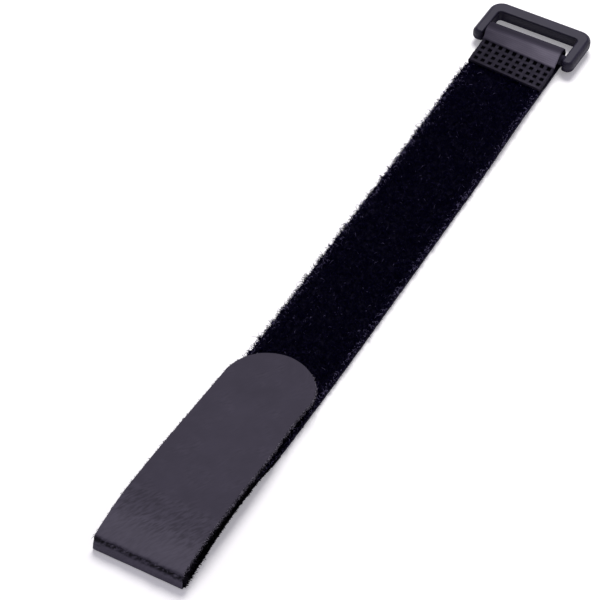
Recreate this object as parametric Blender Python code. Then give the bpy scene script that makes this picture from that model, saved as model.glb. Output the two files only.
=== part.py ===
"""Hook and loop cable tie with a moulded ring buckle, in metres, +Z up.

The tie lies on a table along X. The ring buckle is at +X, in a loop of the strap that is folded
back and spot welded, and the hook tab is folded over at -X and lies on the strap's pile. Z is 0 at
the table, and the origin is in the middle of the strap's flat underside.
"""
import math

import bmesh
import bpy

MM = 0.001
SEAM = 0.01 * MM
EDGE_STEPS = 1

# Strap: woven loop tape, pile side up
STRAP_WIDTH = 19.5 * MM
STRAP_THICKNESS = 2.0 * MM
STRAP_LAP_THICKNESS = 0.7 * MM
FOLD_REACH = 95.6 * MM
STRAP_EDGE_ROUND = 0.25 * MM

# Loop round the buckle's bar, and the spot weld that closes it
BAR_REACH = 81.9 * MM
WRAP_THICKNESS = 0.95 * MM
BAR_CLEARANCE = 0.35 * MM
WRAP_LIFT = 0.1 * MM
EYE_LENGTH = 3.0 * MM
WELD_LENGTH = 11.85 * MM
WELD_MARGIN = 1.1 * MM
WELD_TOP = 2.9 * MM
WELD_SKEW = math.radians(-5.3)
WELD_LEAD = 3.2 * MM
RISE_HEIGHT = 0.6 * MM
RISE_LENGTH = 52.0 * MM
DOT_ROWS = 4
DOT_COLUMNS = 10
DOT_ROW_PITCH = 2.03 * MM
DOT_COLUMN_PITCH = 1.89 * MM
DOT_LENGTH = 1.0 * MM
DOT_WIDTH = 0.8 * MM
DOT_DEPTH = 0.5 * MM
DOT_INSET = 1.4 * MM
DOT_SHIFT = -0.16 * MM

# Hook tab: woven hook tape, folded over so that its hooks face the pile
TAB_WIDTH = 20.0 * MM
TAB_THICKNESS = 1.3 * MM
TAB_LAP_THICKNESS = 0.6 * MM
TONGUE_LENGTH = 61.0 * MM
FOLD_HEIGHT = 3.3 * MM
FOLD_LEAN = 0.3 * MM
FOLD_ROUND = 0.5 * MM
TONGUE_REST_HEIGHT = 3.65 * MM
BULGE_HEIGHT = 2.2 * MM
BULGE_RISE = 14.0 * MM
TAB_EDGE_ROUND = 0.2 * MM

# Arch of the lower layer behind the fold, and the lap weld of tab and strap
ARCH_HEIGHT = 2.7 * MM
ARCH_SPAN = 42.6 * MM
LAP_START = 28.6 * MM
LAP_LENGTH = 10.0 * MM
LAP_GAP = 0.3 * MM
JOGGLE = 1.2 * MM

# Sideways set of the near end and of the bar's end
FOLD_SHIFT = 1.4 * MM
SHIFT_LENGTH = 70.6 * MM
BAR_SHIFT = 0.4 * MM
BAR_SHIFT_LENGTH = 39.9 * MM
TONGUE_YAW = math.radians(-0.95)

# Buckle: moulded ring, a thick frame with a thinner round bar at its near side
BAR_RADIUS = 1.25 * MM
SLOT_WIDTH = 20.8 * MM
SLOT_REACH = 7.1 * MM
RAIL_WIDTH = 2.95 * MM
FAR_BAR_WIDTH = 3.9 * MM
RAIL_OVERHANG = 2.6 * MM
FRAME_THICKNESS = 3.0 * MM
FAR_CORNER_RADIUS = 3.4 * MM
NEAR_CORNER_RADIUS = 1.9 * MM
SLOT_CORNER_RADIUS = 0.8 * MM
FRAME_EDGE_ROUND = 0.9 * MM
FRAME_EDGE_STEPS = 3
BAR_EMBED = 1.2 * MM
BUCKLE_SHIFT = 0.2 * MM
BUCKLE_SKEW = math.radians(1.2)

EYE_RADIUS = BAR_RADIUS + BAR_CLEARANCE
WRAP_RADIUS = EYE_RADIUS + WRAP_THICKNESS
BAR_HEIGHT = WRAP_RADIUS + WRAP_LIFT
LAP_END = LAP_START + LAP_LENGTH


def clear_scene():
    """Remove whatever the file holds, so that the part is alone in it."""
    for item in list(bpy.data.objects):
        bpy.data.objects.remove(item, do_unlink=True)


def make_collection(name):
    """Make a collection in the scene and return it."""
    collection = bpy.data.collections.new(name)
    bpy.context.scene.collection.children.link(collection)
    return collection


def make_material(name, colour, roughness):
    """Return a Principled material of one colour."""
    material = bpy.data.materials.new(name)
    material.use_nodes = True
    shader = material.node_tree.nodes["Principled BSDF"]
    shader.inputs["Base Color"].default_value = (*colour, 1.0)
    shader.inputs["Roughness"].default_value = roughness
    shader.inputs["Metallic"].default_value = 0.0
    return material


def arc(centre_x, centre_y, radius, start, end, steps):
    """Return points on an arc from start to end, in radians, both ends included."""
    points = []
    for index in range(steps + 1):
        angle = start + (end - start) * index / steps
        points.append((centre_x + radius * math.cos(angle), centre_y + radius * math.sin(angle)))
    return points


def spread(start, end, spacing):
    """Return evenly spaced values from start to end, no further apart than spacing."""
    steps = max(1, math.ceil(abs(end - start) / spacing - 1e-9))
    return [start + (end - start) * index / steps for index in range(steps + 1)]


def smooth(value):
    """Return a smooth step from 0 to 1."""
    value = min(1.0, max(0.0, value))
    return value * value * (3.0 - 2.0 * value)


def hump(distance, span):
    """Return a smooth hump of height 1 between 0 and span."""
    if not 0.0 < distance < span:
        return 0.0
    return math.sin(math.pi * distance / span) ** 2


def underside(x):
    """Return the height of the lower layer's underside at x."""
    behind_fold = x + FOLD_REACH
    before_bar = BAR_REACH - x
    arch = ARCH_HEIGHT * hump(behind_fold, ARCH_SPAN)
    rise = RISE_HEIGHT * hump(before_bar, RISE_LENGTH)
    settle = WRAP_LIFT * (1.0 - smooth(before_bar / RISE_LENGTH))
    return arch + rise + settle


def tongue_top(x):
    """Return the height of the folded tongue's backing at x."""
    behind_fold = x + FOLD_REACH
    base = FOLD_HEIGHT + (TONGUE_REST_HEIGHT - FOLD_HEIGHT) * smooth(behind_fold / BULGE_RISE)
    if behind_fold < BULGE_RISE:
        bulge = math.sin(0.5 * math.pi * behind_fold / BULGE_RISE)
    else:
        fall = (behind_fold - BULGE_RISE) / (TONGUE_LENGTH - BULGE_RISE)
        bulge = math.cos(0.5 * math.pi * min(1.0, fall)) ** 2
    return base + BULGE_HEIGHT * bulge


def near_shift(x):
    """Return how far the lower layer lies to the left of its line at x."""
    along = 1.0 - (x + FOLD_REACH) / SHIFT_LENGTH
    at_bar = smooth(1.0 - (BAR_REACH - x) / BAR_SHIFT_LENGTH)
    return FOLD_SHIFT * max(0.0, along) ** 1.5 + BAR_SHIFT * at_bar


def tongue_shift(x):
    """Return how far the tongue lies to the left of the strap's line at x."""
    return FOLD_SHIFT + math.tan(TONGUE_YAW) * (x + FOLD_REACH)


def even_caps(work, half_width):
    """Swap the edges inside the two flat sides, so that none of their triangles is a sliver."""
    for side in (-half_width, half_width):
        cap = {face for face in work.faces
               if all(abs(vertex.co.z - side) < 0.0001 for vertex in face.verts)}
        inner = [edge for edge in work.edges
                 if len(edge.link_faces) == 2 and all(face in cap for face in edge.link_faces)]
        bmesh.ops.beautify_fill(work, faces=list(cap), edges=inner)


def extruded_outline(name, loops, width, edge, collection, material):
    """Return a solid: closed outlines, the second one a hole, given a width and rounded edges.

    An edge is its rounding and the number of steps in it. The curve is filled in millimetres, as
    its fill skips points that are very close together.
    """
    edge_round, edge_steps = edge
    curve = bpy.data.curves.new(name + "_outline", "CURVE")
    curve.dimensions = "2D"
    curve.fill_mode = "BOTH"
    curve.extrude = (0.5 * width - edge_round) / MM
    curve.bevel_depth = edge_round / MM
    curve.bevel_resolution = edge_steps
    curve.offset = -edge_round / MM
    for loop in loops:
        spline = curve.splines.new("POLY")
        spline.points.add(len(loop) - 1)
        for point, (along, up) in zip(spline.points, loop):
            point.co = (along / MM, up / MM, 0.0, 1.0)
        spline.use_cyclic_u = True
    flat = bpy.data.objects.new(name + "_outline", curve)
    collection.objects.link(flat)
    bpy.context.view_layer.update()
    graph = bpy.context.evaluated_depsgraph_get()
    mesh = bpy.data.meshes.new_from_object(flat.evaluated_get(graph))
    bpy.data.objects.remove(flat, do_unlink=True)
    mesh.name = name
    work = bmesh.new()
    work.from_mesh(mesh)
    bmesh.ops.remove_doubles(work, verts=work.verts, dist=0.001)
    even_caps(work, 0.5 * width / MM)
    bmesh.ops.scale(work, vec=(MM, MM, MM), verts=work.verts)
    bmesh.ops.recalc_face_normals(work, faces=work.faces)
    work.to_mesh(mesh)
    work.free()
    mesh.materials.clear()
    mesh.materials.append(material)
    solid = bpy.data.objects.new(name, mesh)
    collection.objects.link(solid)
    return solid


def stand_up(solid):
    """Turn an outline's mesh from XY into XZ, its width along Y."""
    for vertex in solid.data.vertices:
        along, up, across = vertex.co
        vertex.co = (along, -across, up)


def add_boolean(solid, cutter, operation):
    """Cut a solid with a cutter, or join the two."""
    boolean = solid.modifiers.new(operation.lower() + "_" + cutter.name, "BOOLEAN")
    boolean.object = cutter
    boolean.operation = operation
    boolean.solver = "EXACT"


def add_weld(solid):
    """Close the hairline seams that a cut leaves."""
    weld = solid.modifiers.new("seam_weld", "WELD")
    weld.merge_threshold = SEAM


def hide_cutter(cutter):
    """Mark an object as a cutter, which isn't part of the object."""
    cutter.hide_render = True
    cutter.display_type = "WIRE"


def strap_underside_points():
    """Return the strap's backing from its lapped end to the bar, as (x, z)."""
    lap_start = LAP_START - FOLD_REACH
    lap_end = LAP_END - FOLD_REACH
    lap_lift = TAB_LAP_THICKNESS + LAP_GAP
    points = [(x, underside(x) + lap_lift) for x in spread(lap_start, lap_end + LAP_GAP, 2.0 * MM)]
    foot = lap_end + LAP_GAP + JOGGLE
    arch_end = ARCH_SPAN - FOLD_REACH
    rise_start = BAR_REACH - RISE_LENGTH
    points += [(x, underside(x)) for x in spread(foot, arch_end, 2.0 * MM)]
    points += [(x, underside(x)) for x in spread(arch_end, rise_start, 8.0 * MM)[1:]]
    points += [(x, underside(x)) for x in spread(rise_start, BAR_REACH, 3.0 * MM)[1:]]
    return points


def strap_wrap_points():
    """Return the wrap's outer side, from under the bar up to where it leaves it for the weld."""
    weld_end = BAR_REACH - EYE_LENGTH - WELD_MARGIN
    reach = BAR_REACH - weld_end
    drop = BAR_HEIGHT - WELD_TOP
    distance = math.hypot(reach, drop)
    towards_weld = math.atan2(-drop, -reach)
    tangent = towards_weld % (2.0 * math.pi) - math.acos(WRAP_RADIUS / distance)
    return arc(BAR_REACH, BAR_HEIGHT, WRAP_RADIUS, -0.5 * math.pi, tangent, 18)[1:]


def strap_weld_points():
    """Return the top of the welded end, from the wrap back to its cut end and down to the pile."""
    weld_end = BAR_REACH - EYE_LENGTH - WELD_MARGIN
    cut_end = BAR_REACH - WELD_LENGTH
    first_row = cut_end + DOT_INSET
    between = [first_row + (row - 0.5) * DOT_ROW_PITCH for row in range(DOT_ROWS - 1, 0, -1)]
    return [(x, WELD_TOP) for x in [weld_end] + between + [cut_end]]


def strap_pile_points():
    """Return the top of the pile, from the welded end's step back to the lapped end."""
    cut_end = BAR_REACH - WELD_LENGTH
    lap_start = LAP_START - FOLD_REACH
    pile_start = LAP_END - FOLD_REACH
    arch_end = ARCH_SPAN - FOLD_REACH
    full = pile_start + 2.0 * JOGGLE
    rise_start = BAR_REACH - RISE_LENGTH
    points = [(x, underside(x) + STRAP_THICKNESS) for x in spread(cut_end, rise_start, 3.0 * MM)]
    points += [(x, underside(x) + STRAP_THICKNESS) for x in spread(rise_start, arch_end, 8.0 * MM)[1:]]
    points += [(x, underside(x) + STRAP_THICKNESS) for x in spread(arch_end, full, 2.0 * MM)[1:]]
    lap_top = TAB_LAP_THICKNESS + LAP_GAP + STRAP_LAP_THICKNESS
    points += [(x, underside(x) + lap_top) for x in spread(pile_start, lap_start, 2.0 * MM)]
    return points


def strap_eye_points():
    """Return the teardrop eye that the buckle's bar lies in."""
    half = math.acos(EYE_RADIUS / EYE_LENGTH)
    apex = (BAR_REACH - EYE_LENGTH, BAR_HEIGHT)
    round_part = arc(BAR_REACH, BAR_HEIGHT, EYE_RADIUS, half - math.pi, math.pi - half, 20)
    return [apex] + round_part


def skew_strap(x, y, z):
    """Return the x shift that lays the weld and the wrap at their own angles across the strap."""
    cut_end = BAR_REACH - WELD_LENGTH
    weld_end = BAR_REACH - EYE_LENGTH - WELD_MARGIN
    if z > underside(x) + 0.5 * STRAP_THICKNESS:
        blend = smooth((x - weld_end) / (BAR_REACH - weld_end))
        lead = smooth((x - cut_end + WELD_LEAD) / WELD_LEAD)
        slope = math.tan(WELD_SKEW) * (1.0 - blend) * lead - math.tan(BUCKLE_SKEW) * blend
    else:
        blend = smooth((x - cut_end) / WELD_LENGTH)
        slope = -math.tan(BUCKLE_SKEW) * blend
    return -slope * y


def make_weld_dots(collection):
    """Return one cutter that holds the square pits of the spot weld."""
    cut_end = BAR_REACH - WELD_LENGTH
    mesh = bpy.data.meshes.new("weld_dots")
    work = bmesh.new()
    for row in range(DOT_ROWS):
        for column in range(DOT_COLUMNS):
            y = DOT_SHIFT + (column - 0.5 * (DOT_COLUMNS - 1)) * DOT_COLUMN_PITCH
            x = cut_end + DOT_INSET + row * DOT_ROW_PITCH
            made = bmesh.ops.create_cube(work, size=1.0)
            pit = (DOT_LENGTH, DOT_WIDTH, 2.0 * DOT_DEPTH)
            bmesh.ops.scale(work, vec=pit, verts=made["verts"])
            place = (x - math.tan(WELD_SKEW) * y, y + near_shift(x), WELD_TOP)
            bmesh.ops.translate(work, vec=place, verts=made["verts"])
    work.to_mesh(mesh)
    work.free()
    dots = bpy.data.objects.new("weld_dots", mesh)
    collection.objects.link(dots)
    hide_cutter(dots)
    return dots


def make_loop_strap(collection, cutters):
    """Make the loop tape: its run, the wrap round the buckle's bar and the spot weld."""
    material = make_material("loop_pile_black", (0.006, 0.005, 0.009), 0.95)
    outer = strap_underside_points() + strap_wrap_points() + strap_weld_points() + strap_pile_points()
    loops = [outer, strap_eye_points()]
    edge = (STRAP_EDGE_ROUND, EDGE_STEPS)
    strap = extruded_outline("loop_strap", loops, STRAP_WIDTH, edge, collection, material)
    stand_up(strap)
    for vertex in strap.data.vertices:
        x, y, z = vertex.co
        vertex.co = (x + skew_strap(x, y, z), y + near_shift(x), z)
    add_boolean(strap, make_weld_dots(cutters), "DIFFERENCE")
    add_weld(strap)
    return strap


def tab_backing_points():
    """Return the tab's backing, from its lapped end round the fold to the tip, as (x, z)."""
    front = -FOLD_REACH
    lap_end = LAP_END - FOLD_REACH
    crease = front + FOLD_LEAN
    points = [(x, underside(x)) for x in spread(lap_end, front + FOLD_ROUND, 2.0 * MM)]
    points[-1] = (front + FOLD_ROUND, 0.0)
    points += arc(front + FOLD_ROUND, FOLD_ROUND, FOLD_ROUND, -0.5 * math.pi, -math.pi, 4)[1:]
    tongue = spread(crease, front + BULGE_RISE, 1.4 * MM)
    tongue += spread(front + BULGE_RISE, front + TONGUE_LENGTH, 3.0 * MM)[1:]
    points += [(x, tongue_top(x)) for x in tongue]
    return points


def tab_thickness(x, upper):
    """Return the tab's thickness at x, thinner where the lap weld has crushed its hooks."""
    if upper:
        return TAB_THICKNESS
    into_lap = (x + FOLD_REACH - LAP_START + JOGGLE) / JOGGLE
    return TAB_THICKNESS + (TAB_LAP_THICKNESS - TAB_THICKNESS) * smooth(into_lap)


def tab_hook_points():
    """Return the tab's hook side, from the tip back inside the fold to the lapped end."""
    front = -FOLD_REACH
    inner = front + FOLD_LEAN + TAB_THICKNESS
    lap_end = LAP_END - FOLD_REACH
    tongue = spread(front + TONGUE_LENGTH, front + BULGE_RISE, 3.0 * MM)
    tongue += spread(front + BULGE_RISE, inner, 1.4 * MM)[1:]
    points = [(x, tongue_top(x) - tab_thickness(x, True)) for x in tongue]
    lower = spread(inner, lap_end, 1.3 * MM)
    points += [(x, underside(x) + tab_thickness(x, False)) for x in lower]
    return points


def make_tip_cutter(collection):
    """Return the cutter that leaves the tongue's half-round tip."""
    radius = 0.5 * TAB_WIDTH
    centre = TONGUE_LENGTH - radius
    outside = radius + 2.0 * TAB_THICKNESS
    outline = arc(centre, 0.0, radius, -0.5 * math.pi, 0.5 * math.pi, 28)
    outline += [(centre, outside), (centre + outside, outside)]
    outline += [(centre + outside, -outside), (centre, -outside)]
    material = make_material("cutter", (0.5, 0.5, 0.5), 0.5)
    height = 2.0 * (TONGUE_REST_HEIGHT + BULGE_HEIGHT)
    cutter = extruded_outline("tip_cutter", [outline], height, (0.0, 0), collection, material)
    cutter.location = (-FOLD_REACH, FOLD_SHIFT, TONGUE_REST_HEIGHT + BULGE_HEIGHT)
    cutter.rotation_euler = (0.0, 0.0, TONGUE_YAW)
    hide_cutter(cutter)
    return cutter


def make_hook_tab(collection, cutters):
    """Make the hook tape: lapped under the strap, folded over, with a half-round tip."""
    material = make_material("hook_backing_grey", (0.055, 0.050, 0.068), 0.8)
    outline = tab_backing_points() + tab_hook_points()
    edge = (TAB_EDGE_ROUND, EDGE_STEPS)
    tab = extruded_outline("hook_tab", [outline], TAB_WIDTH, edge, collection, material)
    stand_up(tab)
    middle = 0.5 * FOLD_HEIGHT
    for vertex in tab.data.vertices:
        x, y, z = vertex.co
        lower = z < underside(x) + TAB_THICKNESS + 0.1 * MM and z < middle + ARCH_HEIGHT
        shift = near_shift(x) if lower else tongue_shift(x)
        vertex.co = (x, y + shift, z)
    add_boolean(tab, make_tip_cutter(cutters), "DIFFERENCE")
    add_weld(tab)
    return tab


def frame_outline():
    """Return the buckle's frame seen from above, open at the bar's side, about the bar's centre."""
    half_slot = 0.5 * SLOT_WIDTH
    half_frame = half_slot + RAIL_WIDTH
    far = SLOT_REACH + FAR_BAR_WIDTH
    near = -RAIL_OVERHANG
    quarter = 0.5 * math.pi
    rail_end = RAIL_WIDTH - NEAR_CORNER_RADIUS
    outline = arc(near + NEAR_CORNER_RADIUS, -half_frame + NEAR_CORNER_RADIUS, NEAR_CORNER_RADIUS,
                  -2.0 * quarter, -quarter, 6)
    outline += arc(far - FAR_CORNER_RADIUS, -half_frame + FAR_CORNER_RADIUS, FAR_CORNER_RADIUS,
                   -quarter, 0.0, 8)
    outline += arc(far - FAR_CORNER_RADIUS, half_frame - FAR_CORNER_RADIUS, FAR_CORNER_RADIUS,
                   0.0, quarter, 8)
    outline += arc(near + NEAR_CORNER_RADIUS, half_frame - NEAR_CORNER_RADIUS, NEAR_CORNER_RADIUS,
                   quarter, 2.0 * quarter, 6)
    outline += arc(near + rail_end, half_slot + rail_end, rail_end, 2.0 * quarter, 3.0 * quarter, 4)
    outline += arc(SLOT_REACH - SLOT_CORNER_RADIUS, half_slot - SLOT_CORNER_RADIUS,
                   SLOT_CORNER_RADIUS, quarter, 0.0, 4)
    outline += arc(SLOT_REACH - SLOT_CORNER_RADIUS, -half_slot + SLOT_CORNER_RADIUS,
                   SLOT_CORNER_RADIUS, 0.0, -quarter, 4)
    outline += arc(near + rail_end, -half_slot - rail_end, rail_end, quarter, 2.0 * quarter, 4)
    return outline


def make_bar(collection):
    """Return the round bar that the strap's loop turns on, as a solid to join to the frame."""
    mesh = bpy.data.meshes.new("bar")
    work = bmesh.new()
    length = SLOT_WIDTH + 2.0 * BAR_EMBED
    bmesh.ops.create_cone(work, cap_ends=True, segments=28, radius1=BAR_RADIUS,
                          radius2=BAR_RADIUS, depth=length)
    for vertex in work.verts:
        x, y, z = vertex.co
        vertex.co = (x, -z, y)
    work.to_mesh(mesh)
    work.free()
    bar = bpy.data.objects.new("bar", mesh)
    collection.objects.link(bar)
    hide_cutter(bar)
    return bar


def make_buckle(collection, cutters):
    """Make the ring buckle, its origin on the bar's axis."""
    material = make_material("buckle_plastic_black", (0.055, 0.052, 0.070), 0.5)
    edge = (FRAME_EDGE_ROUND, FRAME_EDGE_STEPS)
    buckle = extruded_outline("buckle", [frame_outline()], FRAME_THICKNESS, edge, collection,
                              material)
    bar = make_bar(cutters)
    add_boolean(buckle, bar, "UNION")
    place = (BAR_REACH, BUCKLE_SHIFT, BAR_HEIGHT)
    buckle.location = place
    buckle.rotation_euler = (0.0, 0.0, -BUCKLE_SKEW)
    add_weld(buckle)
    bar.location = place
    bar.rotation_euler = buckle.rotation_euler
    return buckle


def main():
    """Build the cable tie."""
    clear_scene()
    collection = make_collection("cable_tie")
    cutters = make_collection("cable_tie_cutters")
    make_loop_strap(collection, cutters)
    make_hook_tab(collection, cutters)
    make_buckle(collection, cutters)


main()
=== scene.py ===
"""Visual model of a hook and loop cable tie: a pile strap, a folded hook tab and a ring buckle.

Everything is in metres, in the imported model's own frame: +X runs along the strap to the buckle,
+Y to the strap's left and +Z up from the table.
"""
import logging
import math
from dataclasses import dataclass, field
from enum import IntEnum
from typing import Callable, ClassVar

import bmesh
import bpy
import numpy as np
from mathutils import Matrix, Vector, noise


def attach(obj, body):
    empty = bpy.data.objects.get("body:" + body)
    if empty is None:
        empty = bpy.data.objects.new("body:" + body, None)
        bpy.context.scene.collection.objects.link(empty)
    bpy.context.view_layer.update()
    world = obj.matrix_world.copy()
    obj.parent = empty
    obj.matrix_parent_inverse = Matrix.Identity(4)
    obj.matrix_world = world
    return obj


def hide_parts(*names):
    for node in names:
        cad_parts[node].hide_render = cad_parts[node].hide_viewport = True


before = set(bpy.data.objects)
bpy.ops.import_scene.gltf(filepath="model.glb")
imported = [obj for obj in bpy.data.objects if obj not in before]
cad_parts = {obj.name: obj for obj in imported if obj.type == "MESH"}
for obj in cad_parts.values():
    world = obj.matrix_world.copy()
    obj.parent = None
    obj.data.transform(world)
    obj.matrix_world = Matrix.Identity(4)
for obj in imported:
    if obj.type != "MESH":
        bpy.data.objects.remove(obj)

LOG = logging.getLogger("cable_tie")
MM = 0.001
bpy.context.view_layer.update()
# Blender's wave texture has one band to each 0.31416 / Scale
WAVE_BAND = 0.31416
MULTIPLY = {"data_type": "RGBA", "blend_type": "MULTIPLY"}
WHITE = "ffffff"

Colour = tuple[float, float, float, float]
Socket = bpy.types.NodeSocket
Tree = bpy.types.NodeTree
Rule = Callable[[np.ndarray, np.ndarray, np.ndarray], np.ndarray]


class Face(IntEnum):
    """The two sides of a tape: its plain backing, and the side that carries pile or hooks."""

    BACKING = 0
    INNER = 1


def linear_colour(code: str) -> Colour:
    """Turn an sRGB hex colour into the linear colour that a shader takes.

    Args:
        code: The colour as six hex digits, such as "4a4650".

    Returns:
        Red, green, blue and an alpha of 1, all linear.
    """
    channels = []
    for start in (0, 2, 4):
        value = int(code[start:start + 2], 16) / 255.0
        channels.append(value / 12.92 if value <= 0.04045 else ((value + 0.055) / 1.055) ** 2.4)
    return (*channels, 1.0)


def ramp_colour(value: str | float) -> Colour:
    """Return a stop's linear colour, from a hex colour or from a number that becomes a grey."""
    return linear_colour(value) if isinstance(value, str) else (value, value, value, 1.0)


def add_node(tree: Tree, kind: str, settings: dict | None = None,
             **inputs: object) -> bpy.types.Node:
    """Add a shader node with its settings, values and links.

    Args:
        tree: The node tree of the material or the world.
        kind: The node's type name.
        settings: Properties of the node, by name. A colour ramp's "stops" are places from 0 to
            1 in order, each with a hex colour or a grey number.
        **inputs: Sockets by name, with "_" for a space, or by number as "n0". An output socket
            is linked, a hex colour is turned linear, and any other value is set as it is.

    Returns:
        The new node.
    """
    node = tree.nodes.new(kind)
    settings = dict(settings or {})
    stops = settings.pop("stops", [])
    for name, value in settings.items():
        setattr(node, name, value)
    if stops:
        elements = node.color_ramp.elements
        elements[0].position, elements[0].color = stops[0][0], ramp_colour(stops[0][1])
        elements[1].position, elements[1].color = stops[-1][0], ramp_colour(stops[-1][1])
        for position, value in stops[1:-1]:
            elements.new(position).color = ramp_colour(value)
    for name, value in inputs.items():
        numbered = name[0] == "n" and name[1:].isdigit()
        socket = node.inputs[int(name[1:])] if numbered else node.inputs[name.replace("_", " ")]
        if isinstance(value, Socket):
            tree.links.new(value, socket)
        else:
            socket.default_value = linear_colour(value) if isinstance(value, str) else value
    return node


def tape_facts(tree: Tree) -> tuple[Socket, Socket, Socket]:
    """Add the nodes that read a slab's own attributes.

    Args:
        tree: The material's node tree.

    Returns:
        Sockets for the place on the tape, its tone, and whether it is on the inner side.
    """
    tape = add_node(tree, "ShaderNodeAttribute", {"attribute_name": "tape"}).outputs["Vector"]
    tone = add_node(tree, "ShaderNodeAttribute", {"attribute_name": "tone"}).outputs["Fac"]
    split = add_node(tree, "ShaderNodeSeparateXYZ", n0=tape)
    inner = add_node(tree, "ShaderNodeMath", {"operation": "GREATER_THAN"},
                     n0=split.outputs["Z"], n1=0.5)
    return tape, tone, inner.outputs[0]


def smooth_step(value: np.ndarray | float) -> np.ndarray:
    """Return a smooth step from 0 to 1."""
    value = np.clip(value, 0.0, 1.0)
    return value * value * (3.0 - 2.0 * value)


def hump(distance: np.ndarray | float, span: float) -> np.ndarray:
    """Return a smooth hump of height 1 between 0 and span."""
    return np.sin(np.pi * np.clip(np.asarray(distance) / span, 0.0, 1.0)) ** 2


def spread(start: float, end: float, spacing: float) -> np.ndarray:
    """Return evenly spaced values from start to end, no further apart than spacing."""
    return np.linspace(start, end, max(1, math.ceil(abs(end - start) / spacing - 1e-9)) + 1)


def rim_places(corner: float, half: float) -> list[float]:
    """Return the places across, from -1 to 1, that carry a slab's two rounded edges."""
    left = [-1.0, -1.0 + 0.25 * corner / half, -1.0 + corner / half]
    return left + [-place for place in left]


def pointing(axis: int, size: np.ndarray | float, count: int) -> np.ndarray:
    """Return vectors that point along one axis.

    Args:
        axis: 0 for X, 1 for Y or 2 for Z.
        size: The vectors' length, or one length for each.
        count: How many.

    Returns:
        The vectors, as an (n, 3) array.
    """
    vectors = np.zeros((count, 3))
    vectors[:, axis] = size
    return vectors


def joined(*runs: np.ndarray | list[float]) -> np.ndarray:
    """Return runs of values as one sorted list without near repeats."""
    values = np.sort(np.concatenate([np.asarray(run, dtype=float) for run in runs]))
    return values[np.concatenate([[True], np.diff(values) > 0.01 * MM])]


def arc(centre: tuple[float, float], radius: float, start: float, end: float,
        steps: int) -> list[tuple[float, float]]:
    """Return points on an arc.

    Args:
        centre: The arc's centre, as (x, z).
        radius: Its radius.
        start: The first angle, in radians.
        end: The last angle.
        steps: How many spans the arc has.

    Returns:
        The points, both ends included.
    """
    turns = np.linspace(start, end, steps + 1)
    return [(centre[0] + radius * math.cos(turn), centre[1] + radius * math.sin(turn))
            for turn in turns]


def ripple(points: np.ndarray, size: float, seed: float = 0.0) -> np.ndarray:
    """Return smooth noise from about -1 to 1.

    Args:
        points: Points as an (n, 3) array.
        size: The noise's grain, in metres.
        seed: Shifts the pattern.

    Returns:
        One value for each point.
    """
    shift = Vector((seed, 2.3 * seed, 0.7 * seed))
    return np.array([noise.noise(Vector(point) / size + shift) for point in points])


@dataclass(frozen=True)
class Grain:
    """A layer of smooth noise: how strong it is, its grain, and what shifts its pattern."""

    strength: float
    size: float
    seed: float = 0.0

    def at(self, points: np.ndarray) -> np.ndarray:
        """Return the layer's value at points."""
        return self.strength * ripple(points, self.size, self.seed)


def tilted(tone: tuple[float, float], across: np.ndarray) -> np.ndarray:
    """Return a tone that changes evenly across: its middle value and its change to the left."""
    return tone[0] + tone[1] * across


@dataclass(frozen=True)
class Lay:
    """How the tie lies: the heights and the sideways set of its layers, as in the CAD model."""

    fold_reach: float = 95.6 * MM
    bar_reach: float = 81.9 * MM
    bar_height: float = 2.65 * MM
    wrap_lift: float = 0.1 * MM
    rise_height: float = 0.6 * MM
    rise_length: float = 52.0 * MM
    arch_height: float = 2.7 * MM
    arch_span: float = 42.6 * MM
    tongue_length: float = 61.0 * MM
    fold_height: float = 3.3 * MM
    fold_lean: float = 0.3 * MM
    rest_height: float = 3.65 * MM
    bulge_height: float = 2.2 * MM
    bulge_rise: float = 14.0 * MM
    fold_shift: float = 1.5 * MM
    shift_length: float = 70.6 * MM
    tongue_yaw: float = math.radians(-0.95)
    bar_shift: float = 0.4 * MM
    bar_shift_start: float = 42.0 * MM
    weld_skew: float = math.radians(-5.3)
    buckle_skew: float = math.radians(1.2)
    lap_start: float = 28.6 * MM
    lap_end: float = 38.6 * MM

    def underside(self, x: np.ndarray | float) -> np.ndarray:
        """Return the height of the lower layer's underside: its arch, rise and settling.

        Args:
            x: Places along X.

        Returns:
            The heights there.
        """
        before_bar = self.bar_reach - np.asarray(x)
        arch = self.arch_height * hump(x + self.fold_reach, self.arch_span)
        rise = self.rise_height * hump(before_bar, self.rise_length)
        settle = self.wrap_lift * (1.0 - smooth_step(before_bar / self.rise_length))
        return arch + rise + settle

    def tongue_top(self, x: np.ndarray | float) -> np.ndarray:
        """Return the height of the folded tongue's backing, which bulges behind the fold.

        Args:
            x: Places along X.

        Returns:
            The heights there.
        """
        behind = np.asarray(x) + self.fold_reach
        lift = self.rest_height - self.fold_height
        base = self.fold_height + lift * smooth_step(behind / self.bulge_rise)
        rise = np.sin(0.5 * np.pi * np.clip(behind / self.bulge_rise, 0.0, 1.0))
        fall = (behind - self.bulge_rise) / (self.tongue_length - self.bulge_rise)
        drop = np.cos(0.5 * np.pi * np.clip(fall, 0.0, 1.0)) ** 2
        return base + self.bulge_height * np.where(behind < self.bulge_rise, rise, drop)

    def near_shift(self, x: np.ndarray) -> np.ndarray:
        """Return how far the lower layer lies to the left of its line.

        Args:
            x: Places along X.

        Returns:
            The shift in Y there.
        """
        along = 1.0 - (x + self.fold_reach) / self.shift_length
        reach = self.bar_reach - self.bar_shift_start
        far = self.bar_shift * smooth_step((x - self.bar_shift_start) / reach)
        return self.fold_shift * np.clip(along, 0.0, None) ** 1.5 + far

    def tongue_shift(self, x: np.ndarray) -> np.ndarray:
        """Return how far the tongue lies to the left of the strap's line at x."""
        return self.fold_shift + math.tan(self.tongue_yaw) * (x + self.fold_reach)


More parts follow.
